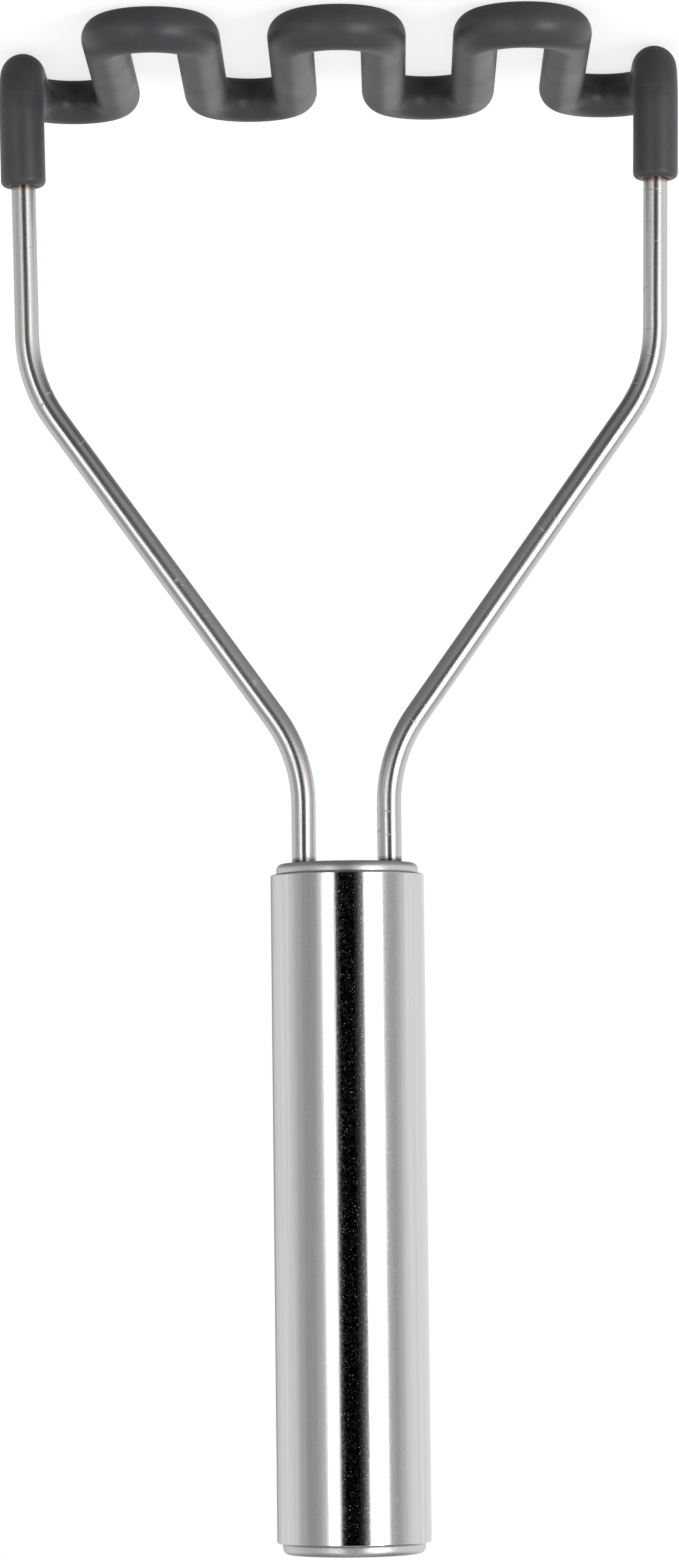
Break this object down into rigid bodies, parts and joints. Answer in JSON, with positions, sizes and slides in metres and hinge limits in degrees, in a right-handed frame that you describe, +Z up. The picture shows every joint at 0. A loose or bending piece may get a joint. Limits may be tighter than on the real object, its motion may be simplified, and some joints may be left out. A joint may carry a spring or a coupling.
{
  "type": "potato masher",
  "caption": "Wave-head potato masher: a bent steel wire with a silicone-covered zigzag head, set in a straight tubular steel handle.",
  "frame": {"origin": "on the surface that the head stands on, under the handle's axis", "axes": "+Z up along the handle from the head, +X across the head's width, +Y from the front of the head to the back, where the zigzag joins the legs"},
  "size_m": [0.1138, 0.0694, 0.2515],
  "materials": {
    "drawn_wire": "bright drawn stainless steel",
    "silicone": "matte dark grey moulded silicone",
    "handle_steel": "polished stainless steel tube",
    "cap_steel": "polished drawn stainless steel",
    "plate_steel": "mill finish stamped steel",
    "weld": "as-welded steel"
  },
  "bodies": {
    "root": {"mashing_wire": "drawn_wire", "silicone_sleeve": "silicone", "handle_tube": "handle_steel", "neck_cap": "cap_steel", "end_cap": "cap_steel", "anchor_plate": "plate_steel", "neck_weld_left": "weld", "neck_weld_right": "weld", "anchor_weld_left": "weld", "anchor_weld_right": "weld"}
  },
  "joints": []
}
